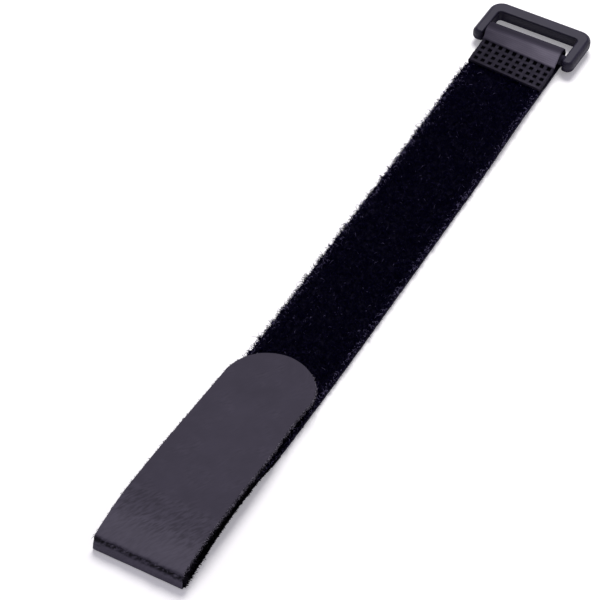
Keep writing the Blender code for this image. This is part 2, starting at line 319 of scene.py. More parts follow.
class TapePath:
    """A tape's backing seen from the side: a line in XZ that is followed by its length."""

    def __init__(self, points: list[tuple[float, float]], inner_on_left: bool) -> None:
        """Measure the line.

        Args:
            points: The line's points, as (x, z).
            inner_on_left: Whether the pile or hook side is on the left of the way of travel.
        """
        self.points = np.array(points)
        steps = np.diff(self.points, axis=0)
        self.lengths = np.concatenate([[0.0], np.cumsum(np.hypot(steps[:, 0], steps[:, 1]))])
        tangents = np.gradient(self.points, self.lengths, axis=0)
        tangents /= np.hypot(tangents[:, 0], tangents[:, 1])[:, None]
        side = 1.0 if inner_on_left else -1.0
        self.normals = np.stack([-tangents[:, 1], tangents[:, 0]], axis=1) * side

    @property
    def length(self) -> float:
        """The line's whole length."""
        return float(self.lengths[-1])

    def at(self, along: np.ndarray) -> tuple[np.ndarray, np.ndarray, np.ndarray, np.ndarray]:
        """Look up the line at lengths along it.

        Args:
            along: The lengths.

        Returns:
            The points' x and z, then the inner side's direction in x and in z.
        """
        place = [np.interp(along, self.lengths, self.points[:, column]) for column in (0, 1)]
        normal = [np.interp(along, self.lengths, self.normals[:, column]) for column in (0, 1)]
        size = np.hypot(*normal)
        return place[0], place[1], normal[0] / size, normal[1] / size

    def ways(self, along: np.ndarray) -> tuple[np.ndarray, np.ndarray]:
        """Return directions at lengths along the line.

        Args:
            along: The lengths.

        Returns:
            A way along the tape and the way out of its inner side, as (n, 3) arrays.
        """
        normal_x, normal_z = self.at(along)[2:]
        level = np.zeros(len(along))
        return (np.stack([normal_z, level, -normal_x], axis=1),
                np.stack([normal_x, level, normal_z], axis=1))


class Tape:
    """A closed slab of woven tape: one grid, wrapped round the section and swept along a path."""

    def __init__(self, name: str, path: TapePath, stations: np.ndarray, outer: np.ndarray,
                 inner: np.ndarray) -> None:
        """Set out the slab's grid.

        Args:
            name: The piece's name.
            path: The line of the tape's backing.
            stations: Lengths along the path at which the slab has a section.
            outer: Places across the backing, from -1 to 1.
            inner: Places across the pile or hook side, from -1 to 1.
        """
        self.name = name
        self.path = path
        self.stations = stations
        self.across = np.concatenate([outer, inner[::-1], outer[:1]])
        sides = [Face.BACKING] * len(outer) + [Face.INNER] * len(inner) + [Face.BACKING]
        self.side = np.array(sides, dtype=float)

    def build(self, place: Rule, tone: Rule) -> bpy.types.Object:
        """Make the slab.

        Args:
            place: Gives points for arrays of lengths, places across and sides.
            tone: Gives how light the tape is there, from 0 to 1.

        Returns:
            The slab as an object, with the attributes "tape", which holds length, place across
            and side, and "tone".
        """
        columns, rows = len(self.stations) - 1, len(self.across) - 1
        work = bmesh.new()
        bmesh.ops.create_grid(work, x_segments=columns, y_segments=rows, size=1.0)
        flat = np.array([vertex.co[:2] for vertex in work.verts])
        station = np.rint((flat[:, 0] + 1.0) * 0.5 * columns).astype(int)
        turn = np.rint((flat[:, 1] + 1.0) * 0.5 * rows).astype(int)
        facts = np.stack([self.stations[station], self.across[turn], self.side[turn]], axis=1)
        points = place(facts[:, 0], facts[:, 1], facts[:, 2])
        tones = tone(facts[:, 0], facts[:, 1], facts[:, 2])
        layer = work.verts.layers.float_vector.new("tape")
        light = work.verts.layers.float.new("tone")
        for vertex, point, fact, value in zip(work.verts, points.tolist(), facts.tolist(),
                                              tones.tolist()):
            vertex.co = point
            vertex[layer] = fact
            vertex[light] = value
        bmesh.ops.remove_doubles(work, verts=work.verts, dist=0.0005 * MM)
        ends = [edge for edge in work.edges if edge.is_boundary]
        bmesh.ops.holes_fill(work, edges=ends, sides=0)
        bmesh.ops.recalc_face_normals(work, faces=work.faces)
        for face in work.faces:
            face.smooth = len(face.verts) == 4
        return finished(self.name, work)


def finished(name: str, work: bmesh.types.BMesh) -> bpy.types.Object:
    """Turn a bmesh into an object in the scene.

    Args:
        name: The piece's name.
        work: The bmesh, which is freed.

    Returns:
        The object.
    """
    mesh = bpy.data.meshes.new(name)
    work.to_mesh(mesh)
    work.free()
    piece = bpy.data.objects.new(name, mesh)
    bpy.context.scene.collection.objects.link(piece)
    return piece


@dataclass(frozen=True)
class FibreShape:
    """A short fibre: its thickness, and how many rings of three points carry its curve."""

    radius: float
    rings: int = 3

    def repeat(self, name: str, count: int) -> bpy.types.Object:
        """Make many small three-sided beads, all in one place.

        Args:
            name: The piece's name.
            count: How many beads.

        Returns:
            The object, with its array applied.
        """
        work = bmesh.new()
        bmesh.ops.create_uvsphere(work, u_segments=3, v_segments=self.rings + 1, radius=1.0)
        bead = finished(name, work)
        array = bead.modifiers.new("repeat", "ARRAY")
        array.count = count
        array.use_relative_offset = False
        graph = bpy.context.evaluated_depsgraph_get()
        mesh = bpy.data.meshes.new_from_object(bead.evaluated_get(graph))
        bead.modifiers.clear()
        bead.data = mesh
        mesh.name = name
        return bead

    def draw(self, name: str, start: np.ndarray, bend: np.ndarray, end: np.ndarray,
             shade: np.ndarray, taper: float = 0.6) -> bpy.types.Object:
        """Draw every bead out along its own curve.

        Args:
            name: The piece's name.
            start: The fibres' first points, as an (n, 3) array.
            bend: The points that their curves bend towards.
            end: Their last points.
            shade: One value from 0 to 1 for each fibre, for its colour.
            taper: How much of the thickness is left at the end.

        Returns:
            The fibres as one object, with the attribute "shade".
        """
        count = len(start)
        piece = self.repeat(name, count)
        each = len(piece.data.vertices) // count
        bead = np.array([vertex.co for vertex in piece.data.vertices[:each]])
        heights = np.unique(bead[:, 2].round(4))
        ring = np.searchsorted(heights, bead[:, 2].round(4))
        share = (ring / (len(heights) - 1))[None, :, None]
        turn = np.arctan2(bead[:, 1], bead[:, 0])
        tip = (ring == 0) | (ring == len(heights) - 1)
        reach = np.where(tip, 0.0, self.radius * (1.0 - (1.0 - taper) * share[0, :, 0]))
        a, b, c = start[:, None, :], bend[:, None, :], end[:, None, :]
        centre = a * (1.0 - share) ** 2 + b * 2.0 * share * (1.0 - share) + c * share ** 2
        tangent = (b - a) * (1.0 - share) + (c - b) * share
        tangent /= np.linalg.norm(tangent, axis=2, keepdims=True) + 1e-12
        off = np.cross(b - a, c - a) + 1e-12
        off = off / np.linalg.norm(off, axis=2, keepdims=True)
        up = np.cross(tangent, np.broadcast_to(off, tangent.shape))
        spokes = np.cos(turn)[None, :, None] * off + np.sin(turn)[None, :, None] * up
        points = centre + spokes * reach[None, :, None]
        piece.data.vertices.foreach_set("co", points.reshape(-1).astype(np.float32))
        layer = piece.data.attributes.new("shade", "FLOAT", "POINT")
        layer.data.foreach_set("value", np.repeat(shade, each).astype(np.float32))
        piece.data.polygons.foreach_set("use_smooth", [True] * len(piece.data.polygons))
        piece.data.update()
        return piece


class Finish:
    """A finish of a real material, made into one Blender material."""

    title: ClassVar[str]

    def shader(self, tree: Tree) -> Socket:
        """Add the finish's own nodes to a tree and return their shader's socket."""
        raise NotImplementedError

    def make(self) -> bpy.types.Material:
        """Make the material.

        Returns:
            The material, named for what it is and how it was made.
        """
        material = bpy.data.materials.new(self.title)
        material.use_nodes = True
        tree = material.node_tree
        tree.nodes.clear()
        add_node(tree, "ShaderNodeOutputMaterial", Surface=self.shader(tree))
        return material


@dataclass(frozen=True)
class LoopPile(Finish):
    """Napped nylon loops, heat set: near black, matt, with the odd fibre that catches the light."""

    title: ClassVar[str] = "nylon_loop_pile"
    dark: str = "05031b"
    light: str = "26223f"
    lit: str = "666180"
    sheen: str = "8070e0"

    def shader(self, tree: Tree) -> Socket:
        """Add nylon whose lightest fibres alone show grey.

        Args:
            tree: The material's node tree.

        Returns:
            The shader's socket.
        """
        shade = add_node(tree, "ShaderNodeAttribute", {"attribute_name": "shade"}).outputs["Fac"]
        colour = add_node(tree, "ShaderNodeValToRGB", {"stops": [
            (0.0, self.dark), (0.72, self.dark), (0.93, self.light), (1.0, self.lit)]}, n0=shade)
        rough = add_node(tree, "ShaderNodeValToRGB", {"stops": [(0.0, 0.95), (1.0, 0.6)]},
                         n0=shade)
        return add_node(tree, "ShaderNodeBsdfPrincipled", Base_Color=colour.outputs[0],
                        Roughness=rough.outputs[0], Specular_IOR_Level=0.01,
                        Specular_Tint=self.sheen).outputs[0]


@dataclass(frozen=True)
class LoopGround(Finish):
    """The pile tape's knitted ground: smooth grey, darker where it is welded; black pile side."""

    title: ClassVar[str] = "knitted_nylon_ground"
    # The darkest stop is the black of the weld pits.
    pit_black: str = "08070d"
    welded: str = "2c2934"
    ground: str = "45414e"
    # The lightest stop is painted light, which only the wrap's slope down to the weld comes near.
    painted_light: str = "7a7583"
    pile: str = "050316"
    pile_light: str = "100d19"
    half_width: float = 9.75 * MM
    course: float = 0.45 * MM
    fleck: float = 1.1111 * MM

    def shader(self, tree: Tree) -> Socket:
        """Add knitted courses on the backing, by the piece's own tone, and black on the pile side.

        Args:
            tree: The material's node tree.

        Returns:
            The shader's socket.
        """
        tape, tone, is_pile = tape_facts(tree)
        # Courses are about 0.2 mm in the real tape, and drawn at 0.45 mm so that they show
        stretch = add_node(tree, "ShaderNodeMapping", n0=tape, Scale=(1.0, self.half_width, 1.0))
        rows = add_node(tree, "ShaderNodeTexWave", {"bands_direction": "X"},
                        n0=stretch.outputs[0], Scale=WAVE_BAND / self.course, Distortion=3.0,
                        Detail=2.0, Detail_Scale=2.0)
        place = add_node(tree, "ShaderNodeTexCoord")
        fleck = add_node(tree, "ShaderNodeTexNoise", n0=place.outputs["Object"],
                         Scale=1.0 / self.fleck, Detail=3.0)
        # Tone runs from the pits' black and the weld's grey up to painted light on the wrap.
        cloth = add_node(tree, "ShaderNodeValToRGB", {"stops": [
            (0.0, self.pit_black), (0.35, self.welded), (0.62, self.ground), (1.0, self.painted_light)]},
            n0=tone)
        shade = add_node(tree, "ShaderNodeValToRGB", {"stops": [(0.0, 0.9), (1.0, 1.05)]},
                         n0=rows.outputs["Fac"])
        cloth = add_node(tree, "ShaderNodeMix", MULTIPLY, n0=1.0, n6=cloth.outputs[0],
                         n7=shade.outputs[0])
        black = add_node(tree, "ShaderNodeValToRGB", {"stops": [
            (0.55, self.pile), (0.85, self.pile_light)]}, n0=fleck.outputs["Fac"])
        colour = add_node(tree, "ShaderNodeMix", {"data_type": "RGBA"}, n0=is_pile,
                          n6=cloth.outputs[2], n7=black.outputs[0])
        relief = add_node(tree, "ShaderNodeMath", {"operation": "ADD"},
                          n0=rows.outputs["Fac"], n1=fleck.outputs["Fac"])
        bump = add_node(tree, "ShaderNodeBump", Strength=0.2, Distance=0.05 * MM,
                        Height=relief.outputs[0])
        return add_node(tree, "ShaderNodeBsdfPrincipled", Base_Color=colour.outputs[2],
                        Roughness=0.6, Specular_IOR_Level=0.02, Normal=bump.outputs[0]).outputs[0]


@dataclass(frozen=True)
class HookBacking(Finish):
    """Woven nylon backing with a thin binder: matt grey, a fine twill drawn strongest where light
    is painted near the fold.
    """

    title: ClassVar[str] = "woven_nylon_twill"
    # The darkest stop is painted shade, for the band along the crease.
    crease_shade: str = "0b0910"
    thread: str = "3e3a47"
    # The lightest stop is painted light, behind the crease and on the fold's face.
    painted_light: str = "5a5663"
    hook_side: str = "06050a"
    half_width: float = 10.0 * MM
    twill: float = 0.5 * MM
    float_length: float = 1.8 * MM
    angle: float = 30.0
    cloud: float = 7.143 * MM
    fleck: float = 0.6667 * MM

    def shader(self, tree: Tree) -> Socket:
        """Add a twill that shows where the tone is light, which is the painted light near the fold,
        and black between the hooks.

        Args:
            tree: The material's node tree.

        Returns:
            The shader's socket.
        """
        tape, tone, is_hooks = tape_facts(tree)
        # A real twill line is about 0.3 mm wide. It is drawn at 0.5 mm, in floats of 1.8 mm, so
        # that it shows
        across = add_node(tree, "ShaderNodeMapping", n0=tape, Scale=(1.0, self.half_width, 1.0))
        lean = add_node(tree, "ShaderNodeMapping", n0=across.outputs[0],
                        Rotation=(0.0, 0.0, math.radians(self.angle)))
        picks = add_node(tree, "ShaderNodeMapping", n0=lean.outputs[0],
                         Scale=(1.0 / self.float_length, 1.0 / self.twill, 1.0))
        rows = add_node(tree, "ShaderNodeTexNoise", n0=picks.outputs[0], Scale=1.0, Detail=1.0)
        place = add_node(tree, "ShaderNodeTexCoord")
        cloud = add_node(tree, "ShaderNodeTexNoise", n0=place.outputs["Object"],
                         Scale=1.0 / self.cloud, Detail=3.0)
        fleck = add_node(tree, "ShaderNodeTexNoise", n0=place.outputs["Object"],
                         Scale=1.0 / self.fleck, Detail=2.0)
        thread = add_node(tree, "ShaderNodeValToRGB", {"stops": [
            (0.0, self.crease_shade), (0.5, self.thread), (1.0, self.painted_light)]}, n0=tone)
        # The twill's strength follows the tone, so it shows most in the painted light near the
        # fold.
        show = add_node(tree, "ShaderNodeValToRGB", {"stops": [
            (0.5, 0.08), (0.545, 0.85), (0.72, 1.0), (0.88, 0.3)]}, n0=tone)
        weave = add_node(tree, "ShaderNodeValToRGB", {"stops": [(0.32, 0.7), (0.62, 1.13)]},
                         n0=rows.outputs["Fac"])
        weave = add_node(tree, "ShaderNodeMix", {"data_type": "RGBA"}, n0=show.outputs[0],
                         n6=WHITE, n7=weave.outputs[0])
        cloth = add_node(tree, "ShaderNodeMix", MULTIPLY, n0=1.0, n6=thread.outputs[0],
                         n7=weave.outputs[2])
        patch = add_node(tree, "ShaderNodeValToRGB", {"stops": [(0.35, 0.94), (0.65, 1.04)]},
                         n0=cloud.outputs["Fac"])
        cloth = add_node(tree, "ShaderNodeMix", MULTIPLY, n0=1.0, n6=cloth.outputs[2],
                         n7=patch.outputs[0])
        colour = add_node(tree, "ShaderNodeMix", {"data_type": "RGBA"}, n0=is_hooks,
                          n6=cloth.outputs[2], n7=self.hook_side)
        relief = add_node(tree, "ShaderNodeMath", {"operation": "MULTIPLY_ADD"},
                          n0=fleck.outputs["Fac"], n1=0.5, n2=rows.outputs["Fac"])
        bump = add_node(tree, "ShaderNodeBump", Strength=0.12, Distance=0.05 * MM,
                        Height=relief.outputs[0])
        return add_node(tree, "ShaderNodeBsdfPrincipled", Base_Color=colour.outputs[2],
                        Roughness=0.75, Specular_IOR_Level=0.12, Normal=bump.outputs[0]).outputs[0]


@dataclass(frozen=True)
class HookFilament(Finish):
    """Drawn nylon monofilament, cut into hooks: black with a small hard shine."""

    title: ClassVar[str] = "nylon_monofilament"
    dark: str = "05040a"
    light: str = "1a1722"

    def shader(self, tree: Tree) -> Socket:
        """Add nylon that differs a little from fibre to fibre.

        Args:
            tree: The material's node tree.

        Returns:
            The shader's socket.
        """
        shade = add_node(tree, "ShaderNodeAttribute", {"attribute_name": "shade"}).outputs["Fac"]
        colour = add_node(tree, "ShaderNodeValToRGB", {"stops": [
            (0.0, self.dark), (1.0, self.light)]}, n0=shade)
        return add_node(tree, "ShaderNodeBsdfPrincipled", Base_Color=colour.outputs[0],
                        Roughness=0.4, Specular_IOR_Level=0.08).outputs[0]


@dataclass(frozen=True)
class MouldedPlastic(Finish):
    """Injection-moulded acetal with a fine spark-eroded skin: dark grey, satin, edges lit."""

    title: ClassVar[str] = "moulded_acetal"
    body: str = "282535"
    worn: str = "353243"
    grain: float = 0.3125 * MM
    flow: float = 6.25 * MM

    def shader(self, tree: Tree) -> Socket:
        """Add satin plastic with faint flow marks under a fine grain.

        Args:
            tree: The material's node tree.

        Returns:
            The shader's socket.
        """
        place = add_node(tree, "ShaderNodeTexCoord")
        # The skin's grain is about 0.05 mm, and is drawn at 0.3 mm so that it shows
        grain = add_node(tree, "ShaderNodeTexNoise", n0=place.outputs["Object"],
                         Scale=1.0 / self.grain, Detail=2.0)
        flow = add_node(tree, "ShaderNodeTexNoise", n0=place.outputs["Object"],
                        Scale=1.0 / self.flow, Detail=2.0)
        colour = add_node(tree, "ShaderNodeValToRGB", {"stops": [
            (0.35, self.body), (0.8, self.worn)]}, n0=flow.outputs["Fac"])
        rough = add_node(tree, "ShaderNodeValToRGB", {"stops": [(0.3, 0.42), (0.7, 0.55)]},
                         n0=flow.outputs["Fac"])
        bump = add_node(tree, "ShaderNodeBump", Strength=0.2, Distance=0.03 * MM,
                        Height=grain.outputs["Fac"])
        return add_node(tree, "ShaderNodeBsdfPrincipled", Base_Color=colour.outputs[0],
                        Roughness=rough.outputs[0], IOR=1.48, Specular_IOR_Level=0.2,
                        Normal=bump.outputs[0]).outputs[0]


@dataclass(frozen=True)
class WhiteCard(Finish):
    """Uncoated white card: matt, and lifted towards full white for the camera alone."""

    title: ClassVar[str] = "matt_white_card"
    colour: str = "fbfafc"
    lift: float = 0.25

    def shader(self, tree: Tree) -> Socket:
        """Add matt card that still takes the tie's shadow.

        Args:
            tree: The material's node tree.

        Returns:
            The shader's socket.
        """
        path = add_node(tree, "ShaderNodeLightPath")
        card = add_node(tree, "ShaderNodeBsdfDiffuse", Color=self.colour)
        lift = add_node(tree, "ShaderNodeMath", {"operation": "MULTIPLY"},
                        n0=path.outputs["Is Camera Ray"], n1=self.lift)
        glow = add_node(tree, "ShaderNodeEmission", Color=self.colour, Strength=lift.outputs[0])
        return add_node(tree, "ShaderNodeAddShader", n0=card.outputs[0],
                        n1=glow.outputs[0]).outputs[0]


@dataclass
class LoopTape:
    """The strap: loop tape that runs under the bar and back over itself to a spot weld."""

    lay: Lay
    width: float = 19.5 * MM
    corner: float = 0.22 * MM
    fray: Grain = Grain(0.10 * MM, 0.9 * MM, 11.0)
    waves: Grain = Grain(0.02 * MM, 2.5 * MM, 8.0)
    bed: tuple[Grain, Grain] = (Grain(0.16 * MM, 0.55 * MM), Grain(0.14 * MM, 1.7 * MM, 3.0))
    melt: Grain = Grain(0.035 * MM, 0.7 * MM, 5.0)
    # Painted light: the wrap's slope down to the weld is made lighter, and a little more so on the
    # right.
    wrap_lit_tone: tuple[float, float] = (0.82, -0.16)
    wrap_mottle: Grain = Grain(0.08, 1.5 * MM, 13.0)
    weld_tone: tuple[float, float] = (0.33, -0.06)
    weld_mottle: Grain = Grain(0.16, 0.8 * MM, 14.0)
    # Painted shade: the wrap over the top of the bar is made darker, and so is the run below it.
    apex_shade_tone: tuple[float, float] = (0.4, -0.05)
    cut_edge_tone: float = 0.2
    wrap_radius: float = 2.8 * MM
    eye_length: float = 3.0 * MM
    weld_length: float = 11.85 * MM
    weld_top: float = 2.9 * MM
    weld_margin: float = 1.1 * MM
    lead: float = 3.2 * MM
    lap_lift: float = 0.7 * MM
    lap_thickness: float = 0.7 * MM
    run_thickness: float = 1.45 * MM
    pressed_thickness: float = 1.3 * MM
    wrap_thickness: float = 0.95 * MM
    weld_thickness: float = 1.2 * MM
    dot_rows: int = 4
    dot_columns: int = 10
    row_pitch: float = 2.03 * MM
    column_pitch: float = 1.89 * MM
    dot_width: float = 0.8 * MM
    dot_length: float = 1.0 * MM
    dot_depth: float = 0.5 * MM
    dot_inset: float = 1.4 * MM
    dot_shift: float = -0.16 * MM
    dot_wall: float = 0.1 * MM
    flat_pile_end: float = 12.0 * MM
    loop_pieces: int = 3
    loop_count: int = 8300
    loop_radius: float = 0.055 * MM
    loop_reach: tuple[float, float] = (0.25 * MM, 0.6 * MM)
    loop_height: tuple[float, float] = (0.6 * MM, 1.5 * MM)
    loop_lean: float = 0.35 * MM
    loop_splay: tuple[float, float] = (0.75 * MM, 1.5 * MM)
    patches: Grain = Grain(0.2, 1.4 * MM, 27.0)
    hair_count: int = 10000
    hair_radius: float = 0.07 * MM
    hair_edge_share: float = 0.7
    tufts: tuple[Grain, Grain] = (Grain(1.4, 1.1 * MM, 23.0), Grain(0.7, 0.4 * MM, 24.0))
    seed: int = 7
    path: TapePath = field(init=False)

    def __post_init__(self) -> None:
        """Set out the path and the lengths at which it changes."""
        lay = self.lay
        lap_start = lay.lap_start - lay.fold_reach
        lap_end = lay.lap_end - lay.fold_reach
        self.weld_end = lay.bar_reach - self.eye_length - self.weld_margin
        self.cut_end = lay.bar_reach - self.weld_length
        xs = spread(lap_start, lay.bar_reach, 0.5 * MM)
        lift = self.lap_lift * (1.0 - smooth_step((xs - lap_end + 0.6 * MM) / (0.8 * MM)))
        points = list(zip(xs.tolist(), (lay.underside(xs) + lift).tolist()))
        reach, drop = lay.bar_reach - self.weld_end, lay.bar_height - self.weld_top
        towards = math.atan2(-drop, -reach) % (2.0 * math.pi)
        tangent = towards - math.acos(self.wrap_radius / math.hypot(reach, drop))
        points += arc((lay.bar_reach, lay.bar_height), self.wrap_radius, -0.5 * math.pi, tangent,
                      40)[1:]
        under_bar = len(xs) - 1
        leave = np.array(points[-1])
        end = np.array((self.weld_end, self.weld_top))
        points += [tuple(leave + (end - leave) * share) for share in np.linspace(0.0, 1.0, 8)[1:]]
        points += [(x, self.weld_top) for x in spread(self.weld_end, self.cut_end, 0.5 * MM)[1:]]
        self.path = TapePath(points, inner_on_left=True)
        self.bar_along = float(self.path.lengths[under_bar])
        self.weld_along = self.path.length - (self.weld_end - self.cut_end)
        self.pile_end = self.bar_along - self.weld_length

    def thickness(self, along: np.ndarray) -> np.ndarray:
        """Return the ground and bed's thickness: full on the run, crushed at both welds.

        Args:
            along: Lengths along the path.

        Returns:
            The thickness at each.
        """
        lap = smooth_step((along - 10.5 * MM) / (2.5 * MM))
        value = self.lap_thickness + (self.run_thickness - self.lap_thickness) * lap
        press = smooth_step((along - self.pile_end) / (1.2 * MM))
        value = value + (self.pressed_thickness - value) * press
        turn = smooth_step((along - self.bar_along + 3.2 * MM) / (3.0 * MM))
        value = value + (self.wrap_thickness - value) * turn
        back = smooth_step((along - self.weld_along + 1.4 * MM) / (1.4 * MM))
        return value + (self.weld_thickness - value) * back

    def skew(self, x: np.ndarray, across: np.ndarray, along: np.ndarray) -> np.ndarray:
        """Return the x shift that lays the weld and the wrap at their own angles.

        Args:
            x: The points' x before the shift.
            across: Places across, in metres.
            along: Lengths along the path.

        Returns:
            The shift at each point.
        """
        lay = self.lay
        upper = along > self.bar_along + 0.5 * math.pi * self.wrap_radius
        blend = smooth_step((x - self.weld_end) / (lay.bar_reach - self.weld_end))
        lead = smooth_step((x - self.cut_end + self.lead) / self.lead)
        high = math.tan(lay.weld_skew) * (1.0 - blend) * lead - math.tan(lay.buckle_skew) * blend
        low = -math.tan(lay.buckle_skew) * smooth_step((x - self.cut_end) / self.weld_length)
        return -np.where(upper, high, low) * across

    def dots(self) -> tuple[np.ndarray, np.ndarray]:
        """Return the pits' middles.

        Returns:
            The rows' lengths along the path, and the columns' places across in metres.
        """
        rows = self.path.length - self.dot_inset - self.row_pitch * np.arange(self.dot_rows)
        columns = np.arange(self.dot_columns) - 0.5 * (self.dot_columns - 1)
        return rows, self.dot_shift + columns * self.column_pitch

    def pits(self, along: np.ndarray, across: np.ndarray) -> np.ndarray:
        """Return how deep the spot weld's square pits are.

        Args:
            along: Lengths along the path.
            across: Places across, in metres.

        Returns:
            The depth at each place on the backing.
        """
        rows, columns = self.dots()
        off_row = np.abs(along[:, None] - rows[None, :]).min(axis=1) - 0.5 * self.dot_length
        off_column = np.abs(across[:, None] - columns[None, :]).min(axis=1) - 0.5 * self.dot_width
        off = np.maximum(off_row, off_column)
        return self.dot_depth * (1.0 - smooth_step(off / self.dot_wall))

    def place(self, along: np.ndarray, across: np.ndarray, side: np.ndarray) -> np.ndarray:
        """Return points on the tape.

        Args:
            along: Lengths along the path.
            across: Places across, from -1 to 1.
            side: Each point's Face.

        Returns:
            The points, as an (n, 3) array.
        """
        x, z, normal_x, normal_z = self.path.at(along)
        half = 0.5 * self.width
        t = across * half
        inset = np.clip(np.abs(t) - (half - self.corner), 0.0, None) / self.corner
        rounding = self.corner * (1.0 - np.sqrt(np.clip(1.0 - inset ** 2, 0.0, 1.0)))
        flat = np.stack([along, t, 7.0 * MM * side], axis=1)
        bed = self.bed[0].at(flat) + self.bed[1].at(flat)
        on_weld = smooth_step((along - self.weld_along + 0.6 * MM) / (0.8 * MM))
        outer = rounding + self.pits(along, t) + self.melt.at(flat) * on_weld + self.waves.at(flat)
        hidden = smooth_step((along - self.bar_along + 3.0 * MM) / (2.0 * MM))
        thick = self.thickness(along)
        inner = thick - rounding + bed * (1.0 - hidden) * np.clip(thick / self.run_thickness, 0, 1)
        depth = np.where(side == Face.INNER, inner, outer)
        fray = self.fray.at(flat * (1.0, 0.0, 1.0) + (0.0, 3.0 * MM, 0.0))
        y = t + np.sign(t) * fray * smooth_step((np.abs(t) - 0.9 * half) / (0.1 * half))
        px = x + normal_x * depth
        pz = z + normal_z * depth
        px = px + self.skew(px, y, along)
        return np.stack([px, y + self.lay.near_shift(px), np.maximum(pz, 0.0)], axis=1)

    def tone(self, along: np.ndarray, across: np.ndarray, side: np.ndarray) -> np.ndarray:
        """Return how light the ground is: black in the pits, dark on the weld, with painted light
        on the wrap's slope down to the weld and painted shade over the bar.

        Args:
            along: Lengths along the path.
            across: Places across, from -1 to 1.
            side: Each point's Face, which makes no difference here.

        Returns:
            The tone at each point, from 0 to 1.
        """
        t = across * 0.5 * self.width
        flat = np.stack([along, t, 0.0 * t], axis=1)
        on_weld = smooth_step((along - self.weld_along + 0.9 * MM) / (0.6 * MM))
        crest = self.weld_along - 3.2 * MM
        # Painted shade over the bar's top, and painted light on the slope down to the weld.
        apex_shaded = smooth_step((crest - along) / (1.6 * MM))
        value = tilted(self.wrap_lit_tone, across) + self.wrap_mottle.at(flat * (1.0, 0.35, 1.0))
        value = value + (tilted(self.apex_shade_tone, across) - value) * apex_shaded
        welded = tilted(self.weld_tone, across) + self.weld_mottle.at(flat)
        value = value + (welded - value) * on_weld
        cut_edge = np.exp(-((self.path.length - along - 0.12 * MM) / (0.16 * MM)) ** 2)
        value = value + self.cut_edge_tone * cut_edge
        # The pits are coloured black.
        shown = 1.0 - np.clip(self.pits(along, t) / (0.55 * self.dot_depth), 0.0, 1.0)
        return np.clip(value * shown, 0.0, 1.0)

    def build(self) -> bpy.types.Object:
        """Make the tape's slab with its pits.

        Returns:
            The slab.
        """
        rows, columns = self.dots()
        steps = np.array((0.0, 0.5 * self.dot_wall, self.dot_wall))
        row_edges = joined(-0.5 * self.dot_length - steps, [0.0], 0.5 * self.dot_length + steps)
        column_edges = joined(-0.5 * self.dot_width - steps, [0.0], 0.5 * self.dot_width + steps)
        run = spread(0.0, self.bar_along - 2.0 * MM, 0.5 * MM)
        wrap = spread(self.bar_along - 2.0 * MM, self.weld_along, 0.28 * MM)
        weld = joined([row + edge for row in rows for edge in row_edges],
                      spread(self.weld_along, self.path.length, 0.35 * MM))
        stations = joined(run, wrap, np.clip(weld, 0.0, self.path.length))
        half = 0.5 * self.width
        rim = rim_places(self.corner, half)
        outer = joined([(column + edge) / half for column in columns for edge in column_edges],
                       np.linspace(-1.0, 1.0, 40), rim)
        inner = joined(np.linspace(-1.0, 1.0, 48), rim)
        outer = outer[(outer >= -1.0) & (outer <= 1.0)]
        slab = Tape("loop_tape", self.path, stations, outer, inner)
        return slab.build(self.place, self.tone)

    def tuft(self, along: np.ndarray, across: np.ndarray) -> np.ndarray:
        """Return how far the pile reaches past an edge: it does so in tufts of a millimetre.

        Args:
            along: Lengths along the path.
            across: Places across, of which only the sign counts.

        Returns:
            A share for each place, about 1.
        """
        flat = np.stack([along, 10.0 * MM * np.sign(across), 0.0 * along], axis=1)
        return np.clip(0.95 + self.tufts[0].at(flat) + self.tufts[1].at(flat), 0.35, 1.6)

    def loops(self, name: str, count: int, seed: int) -> bpy.types.Object:
        """Make a field of pile loops, each an arch of one fibre.

        Args:
            name: The piece's name.
            count: How many loops.
            seed: For their places.

        Returns:
            The loops as one object.
        """
        rng = np.random.default_rng(seed)
        along = rng.uniform(0.5 * MM, self.pile_end + 0.1 * MM, count)
        across = rng.uniform(-0.99, 0.99, count)
        base = self.place(along, across, np.full(count, Face.INNER))
        way, out = self.path.ways(along)
        side = pointing(1, 1.0, count)
        turn = rng.uniform(0.0, 2.0 * math.pi, count)[:, None]
        lean = rng.normal(0.0, self.loop_lean, (count, 2))
        reach = rng.uniform(*self.loop_reach, count)[:, None]
        height = rng.uniform(*self.loop_height, count)[:, None]
        height[along < self.flat_pile_end] *= 0.25
        by_weld = smooth_step((along - self.pile_end + 2.5 * MM) / (2.0 * MM))
        height = height * (1.0 + 0.55 * by_weld[:, None])
        step = (way * np.cos(turn) + side * np.sin(turn)) * reach
        splay = smooth_step((np.abs(across) - 0.84) / 0.16) * rng.uniform(0.0, 1.0, count) ** 1.5
        left, right = self.loop_splay
        splay = splay * np.where(across > 0.0, right, -left) * self.tuft(along, across)
        top = base + out * height + way * lean[:, :1] + side * (lean[:, 1:] + splay[:, None])
        patch = self.patches.at(np.stack([along, 10.0 * MM * across, 0.0 * along], axis=1))
        # Painted light: loops near the two edges get lighter shades, over a wider band on the left.
        rim_start = np.where(across > 0.0, 0.76, 0.84)
        rim = smooth_step((np.abs(across) - rim_start) / (1.0 - rim_start))
        shade = np.clip(rng.uniform(-0.1, 0.9, count) + patch + 0.52 * rim, 0.0, 1.0)
        sink = out * 0.12 * MM
        shape = FibreShape(self.loop_radius)
        return shape.draw(name, base - step - sink, top, base + step - sink, shade, taper=1.0)

